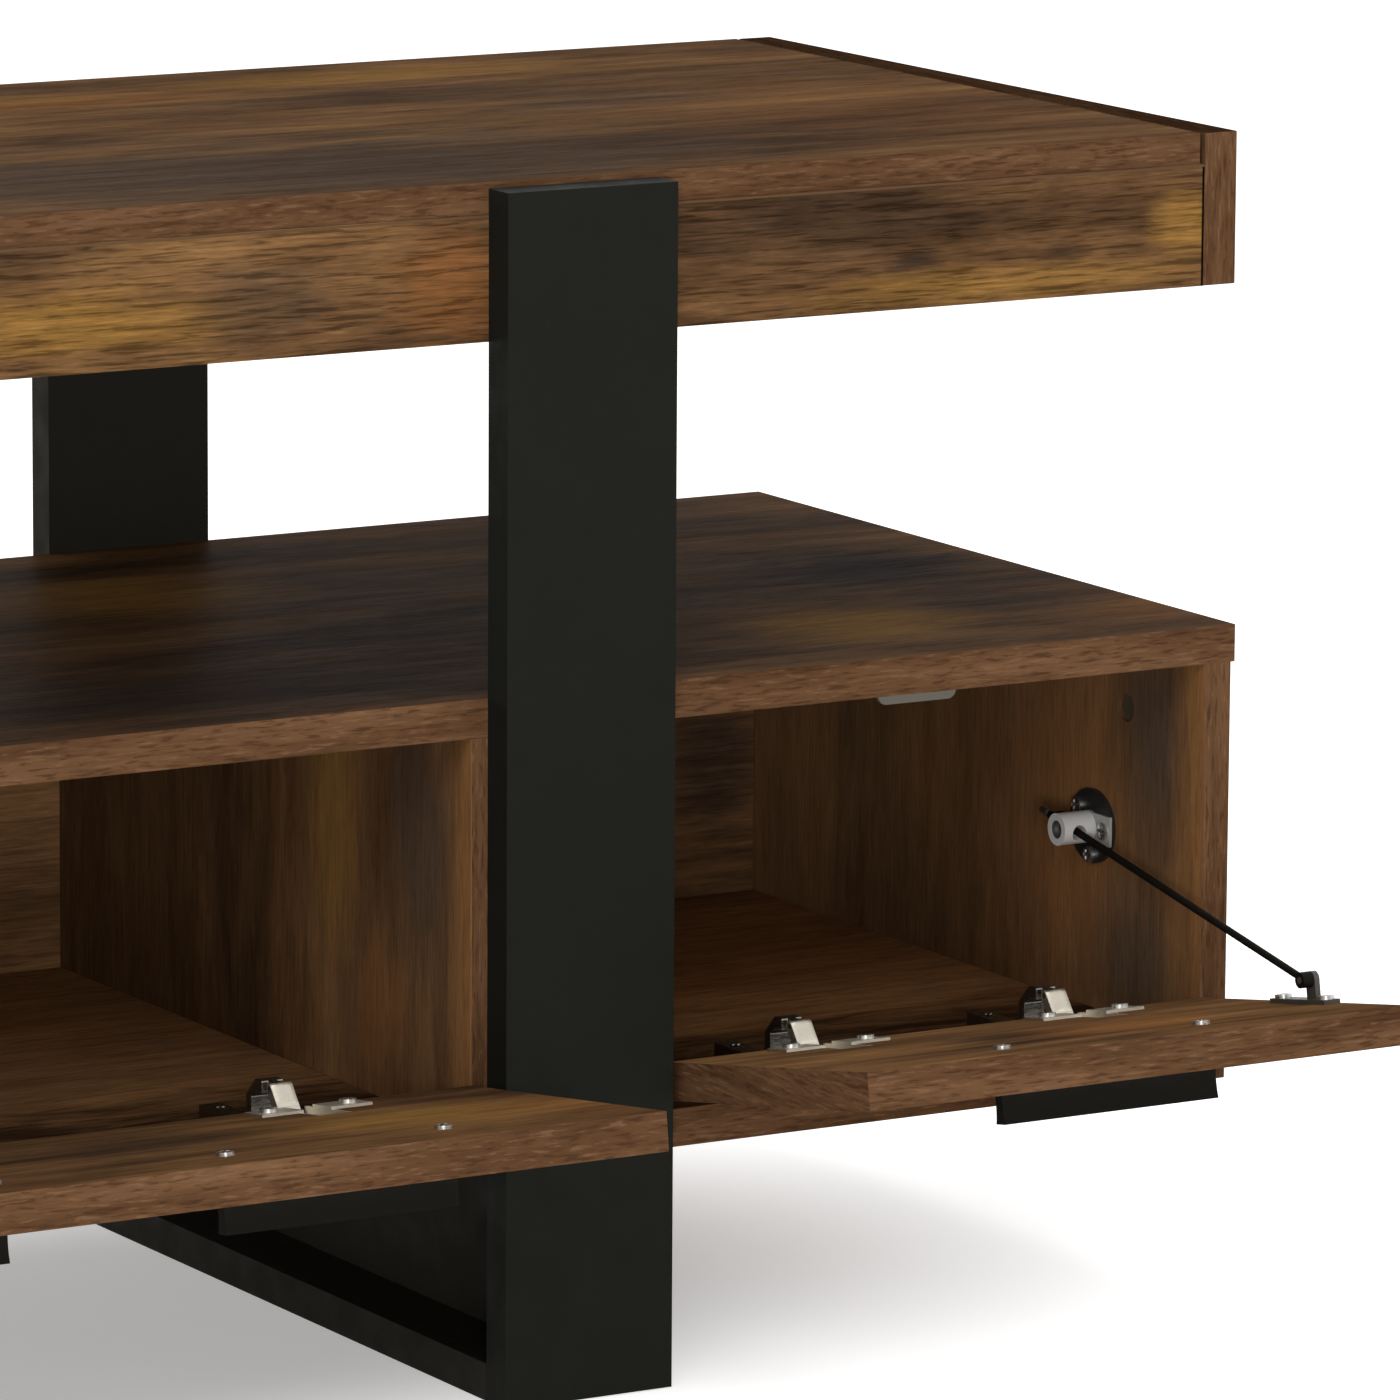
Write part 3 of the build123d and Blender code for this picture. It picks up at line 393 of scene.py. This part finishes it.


# Boards, with the patches and lines that the photograph shows
# Painted shadow: dark lines across the ends of the front apron, where the gap to the end boards is in shade
GAP_SHADOW_COLOUR, GAP_SHADOW_HALF, GAP_SHADOW_INSET = (0.006, 0.004, 0.003), 0.0007, 0.0004
# Painted highlight: a light line along the top of the front apron, where its edge catches the light
PAINTED_HIGHLIGHT_COLOUR, PAINTED_HIGHLIGHT_HALF, PAINTED_HIGHLIGHT_INSET = (0.125, 0.070, 0.036), 0.0005, 0.0007
DEEP_PATCH = 0.03
BOARD_EASE = 0.0005
SHARP_BOARDS = ("front_apron", "back_apron")
gap_shadow_place = reach_along("front_apron", ACROSS) - GAP_SHADOW_INSET
painted_highlight_place = reach_along("front_apron", UP) - PAINTED_HIGHLIGHT_INSET
# A board's tone scales its colour to the light that the board gets: values other than 1 are painted light and
# shade, brighter on the boards inside the bays and on the right flap (2.6 on the cabinet floor) and darker on
# the two tops
boards = {
    "lift_top": dict(grain="X", face="Z", seed=1.0, tone=0.86, streaks=0.45, strokes=0.45, gloss=0.0008,
                     patches=face_patches("lift_top", "Z", 1, [
                         ("gold", 0.60, (0.365, 0.139), (0.110, 0.030)),
                         ("gold", 0.55, (0.150, 0.125), (0.110, 0.022)),
                         ("rust", 0.50, (0.210, 0.110), (0.090, 0.026)),
                         ("char", 0.60, (0.330, 0.075), (0.120, 0.026)),
                         ("grey", 0.90, (0.170, -0.130), (0.270, 0.120)),
                         ("grey", 0.60, (0.420, 0.020), (0.080, 0.040)),
                         ("rust", 0.25, (0.500, -0.060), (0.110, 0.130)),
                     ])),
    "front_apron": dict(grain="X", face="Y", seed=2.3, streaks=0.35, strokes=1.0,
                        # painted shadow lines at the apron's ends
                        lines=[("X", -gap_shadow_place, GAP_SHADOW_HALF, GAP_SHADOW_COLOUR),
                               ("X", gap_shadow_place, GAP_SHADOW_HALF, GAP_SHADOW_COLOUR),
                               # a painted highlight along the apron's top
                               ("Z", painted_highlight_place, PAINTED_HIGHLIGHT_HALF, PAINTED_HIGHLIGHT_COLOUR)],
                        patches=face_patches("front_apron", "Y", -1, [
                            ("char", 0.50, (0.025, 0.487), (0.050, 0.010)),
                            ("gold", 0.85, (0.050, 0.458), (0.080, 0.016)),
                            ("rust", 0.85, (0.220, 0.463), (0.034, 0.026)),
                            ("grey", 0.55, (0.135, 0.463), (0.035, 0.020)),
                            ("char", 0.70, (0.439, 0.456), (0.016, 0.009)),
                            ("char", 0.60, (0.511, 0.455), (0.014, 0.009)),
                            ("gold", 0.65, (0.480, 0.446), (0.120, 0.009)),
                            ("gold", 0.80, (0.572, 0.466), (0.018, 0.014)),
                            ("grey", 0.20, (0.400, 0.474), (0.090, 0.016)),
                        ], DEEP_PATCH)),
    "back_apron": dict(grain="X", face="Y", seed=3.1, strokes=1.0),
    # painted shade on the upper edges of the end boards
    "end_board_left": dict(grain="Z", face="X", seed=4.7, strokes=0.8, upper_edge_painted_shade=0.35),
    "end_board_right": dict(grain="Z", face="X", seed=5.2, strokes=0.8, upper_edge_painted_shade=0.35),
    "tray_floor": dict(grain="X", face="Z", seed=6.4),
    "cabinet_top": dict(grain="X", face="Z", seed=7.7, tone=0.84, streaks=0.15, strokes=0.45, gloss=0.0038,
                        patches=face_patches("cabinet_top", "Z", 1, [
                            ("gold", 0.75, (0.225, 0.080), (0.075, 0.055)),
                            ("char", 0.75, (0.150, -0.130), (0.240, 0.085)),
                            ("char", 0.60, (0.290, -0.050), (0.110, 0.060)),
                            ("char", 1.00, (0.539, 0.003), (0.065, 0.055)),
                            ("gold", 0.95, (0.461, -0.122), (0.060, 0.050)),
                            ("char", 0.55, (0.545, -0.095), (0.060, 0.030)),
                            ("rust", 0.45, (0.585, -0.150), (0.040, 0.040)),
                        ])),
    "cabinet_bottom": dict(grain="X", face="Z", seed=8.2, tone=2.6, clouds=0.5, streaks=0.25, strokes=0.6,
                           patches=face_patches("cabinet_bottom", "Z", 1, [
                               ("rust", 0.50, (0.450, 0.020), (0.200, 0.180)),
                               # painted shade over the front of the cabinet floor
                               ("painted_shade_patch", 1.00, (0.000, -0.160), (4.000, 0.110)),
                           ])),
    "cabinet_back": dict(grain="X", face="Y", seed=9.9, tone=1.2, clouds=0.8,
                         patches=face_patches("cabinet_back", "Y", -1, [
                             ("char", 0.70, (0.564, 0.180), (0.030, 0.050)),
                         ])),
    "side_panel_left": dict(grain="Z", face="X", seed=10.3, tone=1.2, clouds=0.6, streaks=0.25, strokes=0.3),
    "side_panel_right": dict(grain="Z", face="X", seed=11.6, tone=1.45, clouds=0.55, streaks=0.18,
                             strokes=0.3, patches=face_patches("side_panel_right", "X", -1, [
                                 # painted shade across the middle of the bay wall
                                 ("painted_shade_patch", 0.35, (0.010, 0.190), (0.090, 0.300)),
                                 ("rust", 0.40, (-0.090, 0.200), (0.050, 0.090)),
                                 ("grey", 0.85, (-0.160, 0.240), (0.026, 0.050)),
                                 ("grey", 0.75, (-0.145, 0.142), (0.030, 0.036)),
                                 # painted light along the front of the bay wall
                                 ("painted_light_strip", 1.00, (-0.204, 0.190), (0.028, 0.300)),
                             ])),
    "dividers_left": dict(grain="Z", face="X", seed=12.8, tone=1.1, clouds=0.7, streaks=0.30, strokes=0.35),
    "dividers_right": dict(grain="Z", face="X", seed=13.5, tone=1.30, clouds=0.6, streaks=0.20, strokes=0.35,
                           patches=face_patches("dividers_right", "X", -1, [
                               ("gold", 0.50, (-0.080, 0.225), (0.026, 0.060)),
                               ("grey", 0.80, (-0.155, 0.225), (0.026, 0.060)),
                               ("rust", 0.45, (-0.120, 0.150), (0.026, 0.040)),
                               # painted shade towards the back of the bay wall
                               ("painted_shade_patch", 0.60, (0.100, 0.190), (0.170, 0.300)),
                               # painted light along the front of the bay wall
                               ("painted_light_strip", 1.00, (-0.204, 0.190), (0.022, 0.300)),
                           ])),
    "flap_left": dict(grain="X", face="Z", seed=14.1, strokes=0.4),
    "flap_middle": dict(grain="X", face="Z", seed=15.4, streaks=0.35, strokes=0.4, patches=[
        ("gold", 0.55, (0.166, -0.280, 0.142), (0.070, 0.040, DEEP_PATCH)),
        ("char", 0.55, (0.045, -0.265, 0.148), (0.060, 0.040, DEEP_PATCH)),
        ("rust", 0.45, (0.215, -0.300, 0.145), (0.030, 0.050, DEEP_PATCH)),
    ]),
    "flap_right": dict(grain="X", face="Z", seed=16.9, tone=1.35, streaks=0.35, strokes=0.4, patches=[
        ("char", 0.60, (0.440, -0.275, 0.146), (0.030, 0.030, DEEP_PATCH)),
        ("rust", 0.50, (0.490, -0.290, 0.148), (0.050, 0.050, DEEP_PATCH)),
    ]),
}
for name, look in boards.items():
    give(wood(f"wood_{name}", **look), name)
soften(BOARD_EASE, *(name for name in boards if name not in SHARP_BOARDS))


# Legs and hardware
LEG_EASE = 0.0010
HINGE_EASE = 0.0006
PULL_EASE = 0.0005
DRAWN_LINES = (300.0, 3000.0, 3000.0)
CAST_GRAIN = (1500.0, 1500.0, 1500.0)


def in_bays(part):
    return [f"{part}_{bay}" for bay in BAYS]


front_legs, rear_legs = ([f"{part}_leg_{side}" for side in SIDES] for part in ("front", "rear"))
black_board = coated("black_board", (0.0104, 0.0106, 0.0084), roughness=0.65, speckle=0.14, scale=900.0,
                     relief=0.00005, specular=0.06)
# painted light: a lighter copy of the black board for the rear legs, runners, webs and spacers, for the light
# that falls on them
board_with_painted_light = coated("board_with_painted_light", (0.0215, 0.0195, 0.0145), roughness=0.65, speckle=0.14, scale=900.0,
                      relief=0.00005, specular=0.06)
give(black_board, *front_legs)
give(board_with_painted_light, *rear_legs, "runners", "webs", "leg_spacers")
soften(LEG_EASE, *front_legs, *rear_legs, "runners", "webs")

# painted shade: a darker copy of the hinge nickel for the arms, mounts, pins and adjusting screws, which sit
# in shade inside the bays
painted_shade_nickel = brushed("painted_shade_nickel", (0.26, 0.235, 0.200), roughness=0.30, stretch=DRAWN_LINES,
                      relief=0.00002)
satin_nickel = brushed("satin_nickel", (0.60, 0.55, 0.46), roughness=0.46, stretch=DRAWN_LINES,
                       relief=0.00002)
zinc = brushed("zinc", (0.62, 0.61, 0.58), roughness=0.34, stretch=CAST_GRAIN, relief=0.00003)
give(painted_shade_nickel, "hinge_arms", "hinge_mounts", "hinge_pins")
give(satin_nickel, *in_bays("hinge_cups"), *in_bays("hinge_links"))
give(zinc, "fixed_screws", "lift_base_pins", "lift_top_pins", "lift_top_screws", *in_bays("flap_screws"))
soften(HINGE_EASE, "hinge_arms", *in_bays("hinge_links"))

black_metal = coated("black_metal", (0.0080, 0.0066, 0.0048), roughness=0.60, speckle=0.15, scale=2500.0,
                     relief=0.00003, specular=0.07)
gunmetal = coated("gunmetal", (0.060, 0.054, 0.046), roughness=0.40, speckle=0.15, scale=2500.0,
                  relief=0.00003)
lift_steel = coated("lift_steel", (0.020, 0.020, 0.021), roughness=0.40, speckle=0.15, scale=2000.0,
                    relief=0.00004)
cam_zinc = coated("cam_zinc", (0.075, 0.058, 0.036), roughness=0.45, speckle=0.15, scale=2500.0,
                  relief=0.00004)
pale_zinc = coated("pale_zinc", (0.36, 0.355, 0.33), roughness=0.38, speckle=0.08, scale=2500.0,
                   relief=0.00003)
# painted shade: a near-black metal for the insides of screw recesses and the hollow end of the brake
painted_shade_metal = coated("painted_shade_metal", (0.045, 0.043, 0.040), roughness=0.5, speckle=0.2, scale=2500.0,
                      relief=0.00002)
give(black_metal, *in_bays("handle"), *in_bays("stay_rod"))
give(gunmetal, *in_bays("stay_bracket"))
give(lift_steel, "lift_base_rails", "lift_top_rails", "lift_front_arms", "lift_rear_arms", "lift_cross_bar")
give(cam_zinc, "cam_locks")
give(pale_zinc, "stay_bases")
soften(PULL_EASE, *in_bays("handle"))

grey_plastic = coated("grey_plastic", (0.150, 0.135, 0.105), roughness=0.45, speckle=0.06, scale=3000.0,
                      relief=0.00002)
white_plastic = coated("white_plastic", (0.60, 0.59, 0.57), roughness=0.36, speckle=0.03, scale=2500.0,
                       relief=0.00002)
black_plastic = coated("black_plastic", (0.016, 0.016, 0.0155), roughness=0.40, speckle=0.12, scale=2500.0,
                       relief=0.00003)
give(grey_plastic, "flap_stops")
give(white_plastic, *in_bays("stay_brake"))
give(black_plastic, "stay_plates")


# Small hardware that stands on the CAD pieces. The front of a hinge link looks this way at rest, and
# a screw's dome is the height of its head as a share of its radius
LINK_FRONT = Vector((0.0, -0.784, 0.621))
LOOKS_ALONG = 0.99
FIXED_DOME, LIFT_DOME, FLAP_DOME, ADJUSTING_DOME = 0.16, 0.24, 0.10, 0.2


def solids_of(shape):
    """The faces of each solid in a mesh."""
    waiting = set(shape.faces)
    for start in shape.faces:
        if start in waiting:
            waiting.remove(start)
            solid = [start]
            for face in solid:
                neighbours = {other for edge in face.edges for other in edge.link_faces} & waiting
                waiting -= neighbours
                solid.extend(neighbours)
            yield solid


def flat_faces(node, direction=None):
    """Centre, normal and area of each solid's largest flat face, or of the largest that looks one way."""
    shape = bmesh.new()
    shape.from_mesh(nodes[node].data)
    bmesh.ops.remove_doubles(shape, verts=list(shape.verts), dist=MERGE_DISTANCE)
    found = []
    for solid in solids_of(shape):
        planes = {}
        for face in solid:
            if direction is None or face.normal.dot(direction) > LOOKS_ALONG:
                level = face.normal.dot(face.calc_center_median())
                key = (*(round(part, 2) for part in face.normal), round(level, 5))
                planes.setdefault(key, []).append(face)
        flat = max(planes.values(), key=lambda faces: sum(face.calc_area() for face in faces))
        area = sum(face.calc_area() for face in flat)
        centre = sum((face.calc_center_median() * face.calc_area() for face in flat), Vector()) / area
        found.append((centre, flat[0].normal.copy(), area))
    shape.free()
    return found


def centred(step, steps):
    """A step's place between -1 and 1."""
    return 2.0 * step / steps - 1.0


def add_sheet(shape, rows):
    """Faces between rows of points, each with its place in the rows."""
    return [(i, j, shape.faces.new((row[j], after[j], after[j + 1], row[j + 1])))
            for i, (row, after) in enumerate(zip(rows, rows[1:])) for j in range(len(row) - 1)]


def add_screw_head(shape, centre, normal, radius, dome):
    """A head with a cross recess, as high as a share of its radius, standing on a flat face."""
    steps, floor_level = 14, 0.02
    bar_half, bar_reach = 0.17, 0.62
    recess_height = dome * radius * 0.6
    turn = normal.to_track_quat("Z", "Y").to_matrix()

    def in_cross(x, y):
        near, far = sorted((abs(x), abs(y)))
        return near < bar_half and far < bar_reach

    rows = []
    for i in range(steps + 1):
        u = centred(i, steps)
        row = []
        for j in range(steps + 1):
            v = centred(j, steps)
            x, y = u * math.sqrt(1.0 - v * v / 2.0), v * math.sqrt(1.0 - u * u / 2.0)
            height = floor_level if in_cross(x, y) else dome * (1.0 - (x * x + y * y) ** 2)
            row.append(shape.verts.new(centre + turn @ (Vector((x, y, height)) * radius)))
        rows.append(row)
    for i, j, face in add_sheet(shape, rows):
        # the faces inside the cross recess take the second material, a painted shade
        is_low = (face.calc_center_median() - centre).dot(normal) < recess_height
        face.material_index = int(is_low and in_cross(centred(i + 0.5, steps), centred(j + 0.5, steps)))


def add_turned(shape, base, axis, profile, segments=20):
    """A skin turned about an axis, from radii and places along it; a radius of nought closes an end."""
    turn = axis.to_track_quat("Z", "Y").to_matrix()
    angles = [2.0 * math.pi * step / segments for step in range(segments)]
    rings = []
    for radius, along in profile:
        points = [Vector((radius * math.cos(angle), radius * math.sin(angle), along))
                  for angle in (angles if radius else angles[:1])]
        rings.append([shape.verts.new(base + turn @ point) for point in points])
    for first, second in zip(rings, rings[1:]):
        for step in range(segments):
            corners = [first[step % len(first)], first[(step + 1) % len(first)],
                       second[(step + 1) % len(second)], second[step % len(second)]]
            shape.faces.new(list(dict.fromkeys(corners))).smooth = True


def made_piece(name, shape, body, slot, *materials):
    """A finished piece that rides on a body."""
    shape.normal_update()
    mesh = bpy.data.meshes.new(name)
    shape.to_mesh(mesh)
    shape.free()
    for material in materials:
        mesh.materials.append(material)
    piece = bpy.data.objects.new(name, mesh)
    scene.collection.objects.link(piece)
    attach(piece, body)


def dress_screws(node, body, dome):
    shape = bmesh.new()
    for centre, normal, area in flat_faces(node):
        add_screw_head(shape, centre, normal, math.sqrt(area / math.pi), dome)
    made_piece(f"{node}_heads", shape, body, "hinge_steel", zinc, painted_shade_metal)


def dress_hinge_arms():
    """Two adjusting screws on the low rear part of every hinge arm."""
    screw_radius, half_span = 0.0032, 0.010
    shape = bmesh.new()
    for centre, normal, _ in flat_faces("hinge_arms", UP):
        for shift in (-half_span, half_span):
            screw_place = centre + Vector((0.0, shift, 0.0))
            add_screw_head(shape, screw_place, normal, screw_radius, ADJUSTING_DOME)
    made_piece("hinge_adjusting_screws", shape, "base", "hinge_steel", painted_shade_nickel, painted_shade_metal)


def dress_stay(bay):
    """A plated tip on the rod's tail, and a dark lining of painted shade in the hollow end of the brake."""
    tip_profile = [(0.00163, -0.0062), (0.00185, -0.0058), (0.00185, -0.0006), (0.0013, 0.0002),
                   (0.0, 0.0003)]
    hollow_profile = [(0.00385, -0.0001), (0.0036, -0.0012), (0.0033, -0.0028), (0.0, -0.0029)]
    rod, brake = f"stay_rod_{bay}", f"stay_brake_{bay}"
    run = flat_faces(brake)[0][0] - flat_faces(f"stay_bracket_{bay}")[0][0]
    run.x = 0.0
    collar, heading, _ = flat_faces(rod, run.normalized())[0]
    tip = collar + heading * (reach_along(rod, heading) - collar.dot(heading))
    shape = bmesh.new()
    add_turned(shape, tip, heading, tip_profile)
    made_piece(f"stay_tip_{bay}", shape, f"rod_{bay}", "hinge_steel", zinc)
    inward = -ACROSS if bay == "right" else ACROSS
    end, _, _ = flat_faces(brake, inward)[0]
    shape = bmesh.new()
    add_turned(shape, end, inward, hollow_profile)
    made_piece(f"stay_hollow_{bay}", shape, f"brake_{bay}", "black_plastic", painted_shade_metal)


def add_link_cap(shape, pin, normal, upward, eye):
    """A thin pressed cap on a link's front face, bent around the round end of the link at its pin."""
    steps, half_width, lift, swell, taper = 12, 0.0048, 0.00008, 0.00045, 0.22
    low, high = -0.0095, 0.0024
    rows = []
    for i in range(steps + 1):
        u = centred(i, steps)
        row = []
        for j in range(steps + 1):
            v = centred(j, steps)
            along = low + (high - low) * j / steps
            bend = max(along, 0.0) / eye
            outward = normal * math.cos(bend) + upward * math.sin(bend)
            reach = eye + lift + swell * (1.0 - u ** 6) * (1.0 - v ** 6)
            sideways = half_width * (1.0 - taper * max(v, 0.0) ** 8) * u
            row.append(shape.verts.new(pin + upward * min(along, 0.0) + outward * reach + ACROSS * sideways))
        rows.append(row)
    for _, _, face in add_sheet(shape, rows):
        face.smooth = True


def dress_hinge_links(bay):
    """A cap over the upper end of every hinge link; its pin lies above the front face's centre."""
    eye, to_pin = 0.0022, 0.0116
    shape = bmesh.new()
    for centre, normal, _ in flat_faces(f"hinge_links_{bay}", LINK_FRONT):
        upward = ACROSS.cross(normal)
        upward *= math.copysign(1.0, upward.z)
        add_link_cap(shape, centre + upward * to_pin - normal * eye, normal, upward, eye)
    made_piece(f"hinge_caps_{bay}", shape, f"links_{bay}", "hinge_steel", satin_nickel)


dress_screws("fixed_screws", "base", FIXED_DOME)
dress_screws("lift_top_screws", "lift_board", LIFT_DOME)
for bay in BAYS:
    dress_screws(f"flap_screws_{bay}", f"flap_{bay}", FLAP_DOME)
    dress_hinge_links(bay)
    dress_stay(bay)
dress_hinge_arms()


# Stage: a pale floor with a painted pool of shade under the table, a white surround and soft lamps
WHITE = (1.0, 1.0, 1.0, 1.0)
FLOOR_COLOUR = (0.80, 0.80, 0.80, 1.0)
FLOOR_HALF_SIZE = 12.0
FLOOR_DROP = 0.0005
SHADOW_SPREAD = (0.65, 0.25, 1.0)
# The glow is weaker near the table: a painted pool of shade under it
GLOW_NEAR, GLOW_FAR = 0.34, 0.90
SURROUND_LIGHT = 0.42


def seen_directly(graph):
    """1 for what the camera sees itself or in a mirror, 0 for light that falls on the object."""
    rays = graph.add("ShaderNodeLightPath").outputs
    either = graph.maths("MAXIMUM", rays["Is Camera Ray"], rays["Is Glossy Ray"])
    return graph.maths("MAXIMUM", either, rays["Is Transmission Ray"])


def floor_material():
    """A pale colour that glows more with distance from the table, so that its shadow stays and a painted pool
    of shade lies under the table.
    """
    material, graph, shader = new_material("pale_floor")
    material.node_tree.nodes.remove(shader)
    diffuse = graph.add("ShaderNodeBsdfDiffuse", Color=FLOOR_COLOUR)
    place = graph.add("ShaderNodeNewGeometry").outputs["Position"]
    from_table = graph.vector("LENGTH", graph.vector("DIVIDE", place, SHADOW_SPREAD))
    strength = graph.smooth(from_table, 0.5, 1.35, GLOW_NEAR, GLOW_FAR)
    glow = graph.add("ShaderNodeEmission", Color=WHITE,
                     Strength=graph.maths("MULTIPLY", seen_directly(graph), strength))
    both = graph.add("ShaderNodeAddShader")
    graph.put(both.inputs[0], diffuse.outputs[0])
    graph.put(both.inputs[1], glow.outputs[0])
    graph.put(material.node_tree.nodes["Material Output"].inputs["Surface"], both.outputs[0])
    return material


def make_floor():
    mesh = bpy.data.meshes.new("floor")
    shape = bmesh.new()
    bmesh.ops.create_grid(shape, x_segments=4, y_segments=4, size=FLOOR_HALF_SIZE)
    shape.to_mesh(mesh)
    shape.free()
    mesh.materials.append(floor_material())
    floor = bpy.data.objects.new("floor", mesh)
    scene.collection.objects.link(floor)
    floor.location.z = -FLOOR_DROP


def make_world():
    """A surround that lights the table softly and looks white."""
    world = bpy.data.worlds.new("studio")
    world.use_nodes = True
    scene.world = world
    graph = Graph(world.node_tree)
    background = world.node_tree.nodes["Background"]
    strength = graph.maths("MULTIPLY_ADD", seen_directly(graph), 1.0 - SURROUND_LIGHT, SURROUND_LIGHT)
    graph.put(background.inputs["Color"], WHITE)
    graph.put(background.inputs["Strength"], strength)


def lamp(name, place, target, size, watts):
    light = bpy.data.lights.new(name, "AREA")
    light.shape = "DISK"
    light.size = size
    light.energy = watts
    holder = bpy.data.objects.new(name, light)
    scene.collection.objects.link(holder)
    holder.location = place
    holder.rotation_euler = (Vector(target) - Vector(place)).to_track_quat("-Z", "Y").to_euler()


place_camera()
make_floor()
make_world()
lamp("key", place=(-2.2, -2.7, 2.6), target=(0.2, 0.0, 0.25), size=2.0, watts=36.0)
lamp("overhead", place=(0.3, -0.2, 3.4), target=(0.1, 0.0, 0.3), size=2.6, watts=38.0)
lamp("front", place=(-1.3, -3.3, 0.38), target=(0.25, 0.0, 0.2), size=1.1, watts=52.0)
lamp("fill", place=(2.6, -2.6, 1.5), target=(0.2, 0.0, 0.25), size=1.8, watts=12.0)
